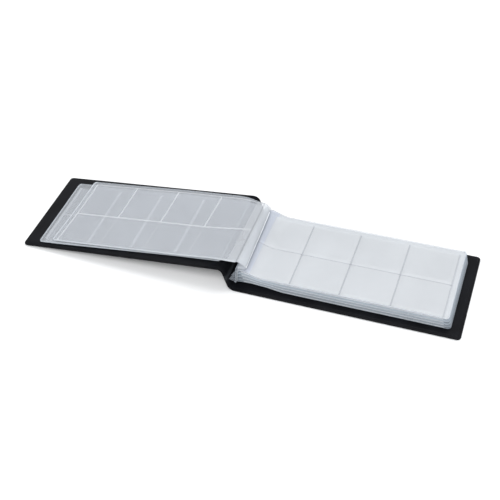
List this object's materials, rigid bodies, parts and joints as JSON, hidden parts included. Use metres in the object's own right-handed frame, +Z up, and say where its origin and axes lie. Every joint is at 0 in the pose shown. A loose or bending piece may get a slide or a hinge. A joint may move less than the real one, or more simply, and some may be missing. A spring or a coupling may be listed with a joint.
{
  "type": "pressed penny album",
  "caption": "Landscape pocket album for pressed coins, lying open: dark wrap-round cover with a hinged spine, and clear pocket leaves bound along it.",
  "frame": {"origin": "middle of the open album's footprint, on the surface it lies on", "axes": "+X from the spine along the back cover towards its free edge, the long way of the open album; +Z up"},
  "size_m": [0.4218, 0.102, 0.0307],
  "materials": {
    "cover_leatherette": "fine-grained matte black vinyl leatherette",
    "cover_board": "plain grey paper board",
    "cover_lining": "smooth satin black vinyl",
    "leaf_film": "clear, slightly frosted soft vinyl film",
    "pocket_film": "clear, slightly frosted soft vinyl film, welded in pockets",
    "binding_vinyl": "clear soft vinyl strip"
  },
  "bodies": {
    "back_cover": {"back_cover_skin": "cover_leatherette", "back_cover_board": "cover_board", "back_cover_lining": "cover_lining"},
    "spine": {"spine_skin": "cover_leatherette", "spine_board": "cover_board", "spine_lining": "cover_lining", "lower_hinge_web": "cover_leatherette", "upper_hinge_web": "cover_leatherette"},
    "front_cover": {"front_cover_skin": "cover_leatherette", "front_cover_board": "cover_board", "front_cover_lining": "cover_lining"},
    "binding": {"binding_strip": "binding_vinyl"},
    "leaf_1": {"leaf_1_film": "leaf_film", "leaf_1_near_pockets": "pocket_film", "leaf_1_far_pockets": "pocket_film"},
    "leaf_2_margin": {"leaf_2_margin": "leaf_film"},
    "leaf_2": {"leaf_2_film": "leaf_film", "leaf_2_near_pockets": "pocket_film", "leaf_2_far_pockets": "pocket_film"},
    "leaf_3": {"leaf_3_film": "leaf_film", "leaf_3_near_pockets": "pocket_film", "leaf_3_far_pockets": "pocket_film"},
    "leaf_4": {"leaf_4_film": "leaf_film", "leaf_4_near_pockets": "pocket_film", "leaf_4_far_pockets": "pocket_film"},
    "leaf_5": {"leaf_5_film": "leaf_film", "leaf_5_near_pockets": "pocket_film", "leaf_5_far_pockets": "pocket_film"},
    "leaf_6": {"leaf_6_film": "leaf_film", "leaf_6_near_pockets": "pocket_film", "leaf_6_far_pockets": "pocket_film"},
    "leaf_7": {"leaf_7_film": "leaf_film", "leaf_7_near_pockets": "pocket_film", "leaf_7_far_pockets": "pocket_film"},
    "leaf_8": {"leaf_8_film": "leaf_film", "leaf_8_near_pockets": "pocket_film", "leaf_8_far_pockets": "pocket_film"},
    "leaf_9": {"leaf_9_film": "leaf_film", "leaf_9_near_pockets": "pocket_film", "leaf_9_far_pockets": "pocket_film"},
    "leaf_10": {"leaf_10_film": "leaf_film", "leaf_10_near_pockets": "pocket_film", "leaf_10_far_pockets": "pocket_film"}
  },
  "joints": [
    {"name": "front_cover_hinge", "type": "hinge", "parent": "spine", "child": "front_cover", "pos_m": [-0.00378, 0, 0.02516], "axis": [0, 1, 0], "range_deg": [0, 171.55]},
    {"name": "spine_hinge", "type": "hinge", "parent": "back_cover", "child": "spine", "pos_m": [0.00258, 0, 0.0014], "axis": [0, 1, 0], "range_deg": [0, 15]},
    {"name": "binding_hinge", "type": "hinge", "parent": "back_cover", "child": "binding", "pos_m": [0.00543, 0, 0.00425], "axis": [0, 1, 0], "range_deg": [-6, 0]},
    {"name": "leaf_1_hinge", "type": "hinge", "parent": "spine", "child": "leaf_1", "pos_m": [-0.00378, 0, 0.02516], "axis": [0, 1, 0], "range_deg": [0, 171.55]},
    {"name": "leaf_2_hinge", "type": "hinge", "parent": "binding", "child": "leaf_2_margin", "pos_m": [0.00726, 0, 0.02163], "axis": [0, 1, 0], "range_deg": [0, 102.55]},
    {"name": "leaf_2_fold", "type": "hinge", "parent": "leaf_2_margin", "child": "leaf_2", "pos_m": [0.00623, 0, 0.03061], "axis": [0, 1, 0], "range_deg": [0, 90]},
    {"name": "leaf_3_hinge", "type": "hinge", "parent": "binding", "child": "leaf_3", "pos_m": [0.0071, 0, 0.02011], "axis": [0, 1, 0], "range_deg": [0, 6]},
    {"name": "leaf_4_hinge", "type": "hinge", "parent": "binding", "child": "leaf_4", "pos_m": [0.00689, 0, 0.01807], "axis": [0, 1, 0], "range_deg": [0, 6]},
    {"name": "leaf_5_hinge", "type": "hinge", "parent": "binding", "child": "leaf_5", "pos_m": [0.00667, 0, 0.01604], "axis": [0, 1, 0], "range_deg": [0, 6]},
    {"name": "leaf_6_hinge", "type": "hinge", "parent": "binding", "child": "leaf_6", "pos_m": [0.00646, 0, 0.014], "axis": [0, 1, 0], "range_deg": [0, 6]},
    {"name": "leaf_7_hinge", "type": "hinge", "parent": "binding", "child": "leaf_7", "pos_m": [0.00624, 0, 0.01196], "axis": [0, 1, 0], "range_deg": [0, 6]},
    {"name": "leaf_8_hinge", "type": "hinge", "parent": "binding", "child": "leaf_8", "pos_m": [0.00603, 0, 0.00992], "axis": [0, 1, 0], "range_deg": [0, 6]},
    {"name": "leaf_9_hinge", "type": "hinge", "parent": "binding", "child": "leaf_9", "pos_m": [0.00581, 0, 0.00788], "axis": [0, 1, 0], "range_deg": [0, 6]},
    {"name": "leaf_10_hinge", "type": "hinge", "parent": "binding", "child": "leaf_10", "pos_m": [0.0056, 0, 0.00584], "axis": [0, 1, 0], "range_deg": [0, 6]}
  ],
  "couplings": [
    {"joint": "spine_hinge", "follows": "front_cover_hinge", "ratio": 0.087437},
    {"joint": "binding_hinge", "follows": "front_cover_hinge", "ratio": -0.034975},
    {"joint": "leaf_1_hinge", "follows": "front_cover_hinge", "ratio": 1},
    {"joint": "leaf_2_hinge", "follows": "front_cover_hinge", "ratio": 0.59779},
    {"joint": "leaf_2_fold", "follows": "front_cover_hinge", "ratio": 0.52462},
    {"joint": "leaf_3_hinge", "follows": "front_cover_hinge", "ratio": 0.034975},
    {"joint": "leaf_4_hinge", "follows": "front_cover_hinge", "ratio": 0.034975},
    {"joint": "leaf_5_hinge", "follows": "front_cover_hinge", "ratio": 0.034975},
    {"joint": "leaf_6_hinge", "follows": "front_cover_hinge", "ratio": 0.034975},
    {"joint": "leaf_7_hinge", "follows": "front_cover_hinge", "ratio": 0.034975},
    {"joint": "leaf_8_hinge", "follows": "front_cover_hinge", "ratio": 0.034975},
    {"joint": "leaf_9_hinge", "follows": "front_cover_hinge", "ratio": 0.034975},
    {"joint": "leaf_10_hinge", "follows": "front_cover_hinge", "ratio": 0.034975}
  ]
}
